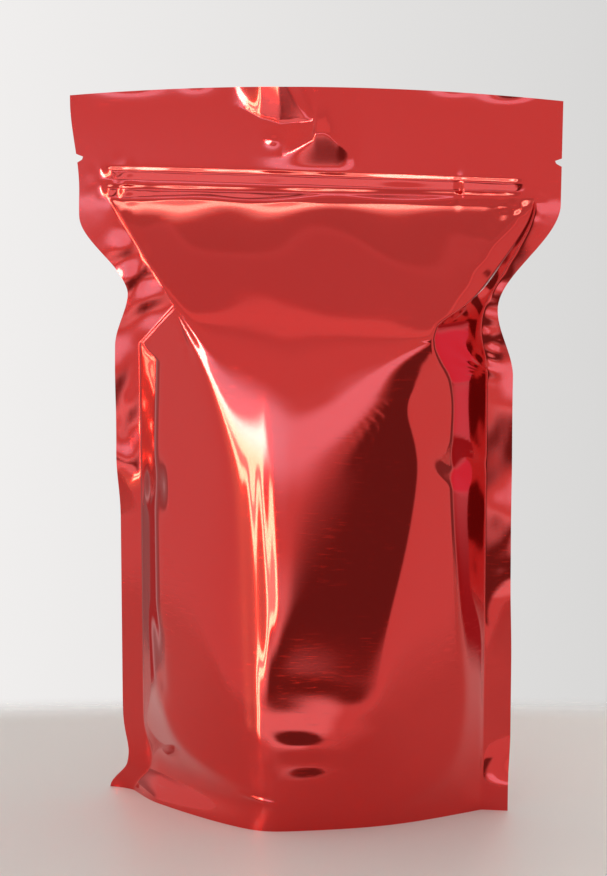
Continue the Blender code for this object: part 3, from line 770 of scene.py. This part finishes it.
class POUCH_OT_film(bpy.types.Operator):
    """Lay the two sheets of film over the contents, seal them and give them their finish"""
    bl_idname = "pouch.film"
    bl_label = "Pouch film"

    def execute(self, context):
        sizes = context.scene.pouch_sizes
        bm = bmesh.new()
        for sheet in (lay_sheet(FRONT, sizes, -1.0, rounds=2), lay_sheet(BACK, sizes, 1.0, rounds=1)):
            bm.from_mesh(sheet)
            bpy.data.meshes.remove(sheet)
        bmesh.ops.bridge_loops(bm, edges=[edge for edge in bm.edges if edge.is_boundary])
        add_underside(bm)
        bmesh.ops.triangulate(bm, faces=bm.faces)
        bmesh.ops.recalc_face_normals(bm, faces=bm.faces)
        places = np.array([v.co for v in bm.verts])
        centre = (places.min(axis=0) + places.max(axis=0)) / 2
        shift = (CAD_CENTRE[0] - centre[0], CAD_CENTRE[1] - centre[1], 0.0)
        bmesh.ops.translate(bm, verts=bm.verts, vec=shift)
        mesh = bpy.data.meshes.new("pouch_film")
        bm.to_mesh(mesh)
        bm.free()
        mesh.shade_smooth()
        mesh.set_sharp_from_angle(angle=math.radians(50.0))
        facing = np.zeros(3 * len(mesh.vertices), dtype=np.float32)
        mesh.attributes["facing"].data.foreach_get("vector", facing)
        mesh.normals_split_custom_set_from_vertices(facing.reshape(-1, 3))
        mesh.attributes.remove(mesh.attributes["facing"])
        mesh.materials.append(metallised_film(context.scene.pouch_colours))
        film = bpy.data.objects.new("pouch_film", mesh)
        context.scene.collection.objects.link(film)
        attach(film, "root")
        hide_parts("pouch")
        return {"FINISHED"}


class POUCH_OT_stage(bpy.types.Operator):
    """Set the table, the room that the film reflects, and the camera"""
    bl_idname = "pouch.stage"
    bl_label = "Table, room and camera"

    def execute(self, context):
        colours = context.scene.pouch_colours
        add_table(context, colours)
        light_room(context, colours)
        add_camera(context)
        context.scene.view_settings.view_transform = "Standard"
        context.scene.cycles.use_denoising = True
        return {"FINISHED"}


def add_table(context, colours):
    """Pale satin table top that fades out at its edges."""
    bm = bmesh.new()
    bmesh.ops.create_grid(bm, x_segments=1, y_segments=1, size=1.0)
    bmesh.ops.scale(bm, verts=bm.verts, vec=(TABLE_REACH[0], TABLE_REACH[1], 1.0))
    bmesh.ops.rotate(bm, verts=bm.verts, cent=(0.0, 0.0, 0.0), matrix=Matrix.Rotation(CAMERA_TURN, 3, "Z"))
    mesh = bpy.data.meshes.new("table_top")
    bm.to_mesh(mesh)
    bm.free()
    mesh.materials.append(satin_laminate(colours))
    table = bpy.data.objects.new("table_top", mesh)
    context.scene.collection.objects.link(table)


def satin_laminate(colours):
    """Pale melamine laminate, pressed with a fine satin grain: it blurs what it reflects. It fades out at its
    edges, so that it melts into the wall."""
    material = bpy.data.materials.new("satin_laminate")
    material.use_nodes = True
    tree = material.node_tree
    shader, output = tree.nodes["Principled BSDF"], tree.nodes["Material Output"]
    place = add_node(tree, "ShaderNodeTexCoord").outputs["Object"]
    turned = add_node(tree, "ShaderNodeVectorRotate", {"Vector": place, "Angle": -CAMERA_TURN},
                      rotation_type="Z_AXIS").outputs[0]
    reach = add_node(tree, "ShaderNodeVectorMath", {
        0: turned, 1: (1 / TABLE_REACH[0], 1 / TABLE_REACH[1], 0.0)}, operation="MULTIPLY").outputs[0]
    out = add_node(tree, "ShaderNodeVectorMath", {0: reach}, operation="LENGTH").outputs["Value"]
    gone = add_node(tree, "ShaderNodeMapRange", {
        "Value": out, "From Min": TABLE_FADE[0], "From Max": TABLE_FADE[1],
    }, interpolation_type="SMOOTHSTEP").outputs[0]
    # The film reflects less of the table than the camera sees, so that the room's dark floor shows in it
    front = add_node(tree, "ShaderNodeSeparateXYZ", {0: turned}).outputs["Y"]
    mirrored = add_node(tree, "ShaderNodeMapRange", {
        "Value": front, "From Min": MIRROR_FADE[0], "From Max": MIRROR_FADE[1],
    }, interpolation_type="SMOOTHSTEP").outputs[0]
    glossy = add_node(tree, "ShaderNodeLightPath").outputs["Is Glossy Ray"]
    mirrored = add_node(tree, "ShaderNodeMath", {0: mirrored, 1: glossy}, operation="MULTIPLY").outputs[0]
    gone = add_node(tree, "ShaderNodeMath", {0: gone, 1: mirrored}, operation="MAXIMUM").outputs[0]
    cloud = add_node(tree, "ShaderNodeTexNoise", {
        "Vector": place, "Scale": 1000.0 / TABLE_CLOUD_MM, "Detail": 2.0})
    tone = add_node(tree, "ShaderNodeMix", {
        0: cloud.outputs["Fac"], 6: (*colours.table, 1.0), 7: (*colours.table_far, 1.0),
    }, data_type="RGBA").outputs[2]
    tree.links.new(tone, shader.inputs["Base Color"])
    grain = add_node(tree, "ShaderNodeTexNoise", {
        "Vector": place, "Scale": 1000.0 / TABLE_GRAIN_MM, "Detail": 2.0})
    rough = add_node(tree, "ShaderNodeMapRange", {
        "Value": grain.outputs["Fac"], "To Min": 0.40, "To Max": 0.52})
    tree.links.new(rough.outputs[0], shader.inputs["Roughness"])
    clear = add_node(tree, "ShaderNodeBsdfTransparent").outputs[0]
    faded = add_node(tree, "ShaderNodeMixShader", {0: gone, 1: shader.outputs[0], 2: clear}).outputs[0]
    tree.links.new(faded, output.inputs["Surface"])
    return material


def light_room(context, colours):
    """The room round the table, as patches of light that the film reflects."""
    world = bpy.data.worlds.new("room")
    context.scene.world = world
    world.cycles.sampling_method = "NONE"
    world.use_nodes = True
    tree = world.node_tree
    tree.nodes.clear()
    direction = add_node(tree, "ShaderNodeTexCoord").outputs["Generated"]
    turned = add_node(tree, "ShaderNodeVectorRotate", {"Vector": direction, "Angle": -CAMERA_TURN},
                      rotation_type="Z_AXIS").outputs[0]
    side, depth, up = add_node(tree, "ShaderNodeSeparateXYZ", {0: turned}).outputs
    front = add_node(tree, "ShaderNodeMath", {0: depth, 1: -1.0}, operation="MULTIPLY").outputs[0]
    angles = [add_node(tree, "ShaderNodeMath", {0: side, 1: front}, operation="ARCTAN2"),
              add_node(tree, "ShaderNodeMath", {0: up, 1: front}, operation="ARCTAN2"),
              add_node(tree, "ShaderNodeMath", {0: up}, operation="ARCSINE")]
    across, over, rise = (add_node(tree, "ShaderNodeMath", {0: angle.outputs[0], 1: 180.0 / math.pi},
                                   operation="MULTIPLY").outputs[0] for angle in angles)
    slant = add_node(tree, "ShaderNodeMath", {0: rise, 1: -FLOOR_SLANT, 2: across},
                     operation="MULTIPLY_ADD").outputs[0]

    def inside(*ranges):
        """1 where each value lies between its low and high, with soft edges."""
        edges = [add_node(tree, "ShaderNodeMapRange", {
            "Value": value, "From Min": at - soft, "From Max": at + soft,
            "To Min": start, "To Max": 1.0 - start,
        }, interpolation_type="SMOOTHSTEP").outputs[0]
            for value, (low, high, soft) in ranges for at, start in ((low, 0.0), (high, 1.0))]
        share = edges[0]
        for edge in edges[1:]:
            share = add_node(tree, "ShaderNodeMath", {0: share, 1: edge}, operation="MULTIPLY").outputs[0]
        return share

    def cover(base, mask, light):
        """The base light, covered by another where the mask is 1."""
        return add_node(tree, "ShaderNodeMix", {0: mask, 6: base, 7: light}, data_type="RGBA").outputs[2]

    room = (*ROOM_LIGHT, 1.0)
    for reach, height, light in ROOM_PATCHES.values():
        room = cover(room, inside((across, reach), (rise, height)), (*light, 1.0))
    edge_middle, edge_soft = (FLOOR_EDGE[0] + FLOOR_EDGE[1]) / 2, (FLOOR_EDGE[1] - FLOOR_EDGE[0]) / 2
    floor = inside((slant, (edge_middle, FLOOR_FAR, edge_soft)), (across, FLOOR_ACROSS), (rise, FLOOR_RISE))
    room = cover(room, floor, (*FLOOR_LIGHT, 1.0))
    for reach, height, light in WINDOW_PATCHES.values():
        room = cover(room, inside((across, reach), (rise, height)), (*light, 1.0))
    for reach, light in LAMPS:
        room = cover(room, inside((over, reach), (side, LAMP_LENGTH)), (*light, 1.0))
    ray = add_node(tree, "ShaderNodeLightPath").outputs
    room = cover(room, ray["Is Diffuse Ray"], (*DIFFUSE_LIGHT, 1.0))
    shade = add_node(tree, "ShaderNodeMapRange", {
        "Value": side, "From Min": WALL_SHADE_RUN[0], "From Max": WALL_SHADE_RUN[1]}).outputs[0]
    wall = cover((*colours.wall, 1.0), shade, (*colours.wall_shade, 1.0))
    room = cover(room, ray["Is Camera Ray"], wall)
    background = add_node(tree, "ShaderNodeBackground", {"Color": room})
    add_node(tree, "ShaderNodeOutputWorld", {"Surface": background.outputs[0]})


def add_camera(context):
    """The photograph's viewing angle."""
    camera = bpy.data.cameras.new("camera")
    camera.sensor_width = 36.0
    camera.lens = FOCAL_PIXELS / LONG_SIDE_PIXELS * camera.sensor_width
    holder = bpy.data.objects.new("camera", camera)
    sine, cosine = math.sin(CAMERA_TURN), math.cos(CAMERA_TURN)
    holder.location = (sine * CAMERA_DISTANCE - cosine * AIM_LEFT,
                       -cosine * CAMERA_DISTANCE - sine * AIM_LEFT, CAMERA_HEIGHT)
    holder.rotation_euler = (math.pi / 2 - CAMERA_PITCH, 0.0, CAMERA_TURN)
    context.scene.collection.objects.link(holder)
    context.scene.camera = holder


class POUCH_PT_panel(bpy.types.Panel):
    bl_idname = "POUCH_PT_panel"
    bl_label = "Resealable pouch"
    bl_space_type = "VIEW_3D"
    bl_region_type = "UI"
    bl_category = "Pouch"

    def draw(self, context):
        for group in (context.scene.pouch_sizes, context.scene.pouch_colours):
            for name in group.__annotations__:
                self.layout.prop(group, name)
        for operator in (POUCH_OT_film, POUCH_OT_stage):
            self.layout.operator(operator.bl_idname)


CLASSES = (PouchSizes, PouchColours, POUCH_OT_film, POUCH_OT_stage, POUCH_PT_panel)


def register():
    for cls in CLASSES:
        bpy.utils.register_class(cls)
    bpy.types.Scene.pouch_sizes = PointerProperty(type=PouchSizes)
    bpy.types.Scene.pouch_colours = PointerProperty(type=PouchColours)


def unregister():
    del bpy.types.Scene.pouch_colours
    del bpy.types.Scene.pouch_sizes
    for cls in reversed(CLASSES):
        bpy.utils.unregister_class(cls)


def main():
    register()
    bpy.ops.pouch.film()
    bpy.ops.pouch.stage()


if __name__ == "__main__":
    main()
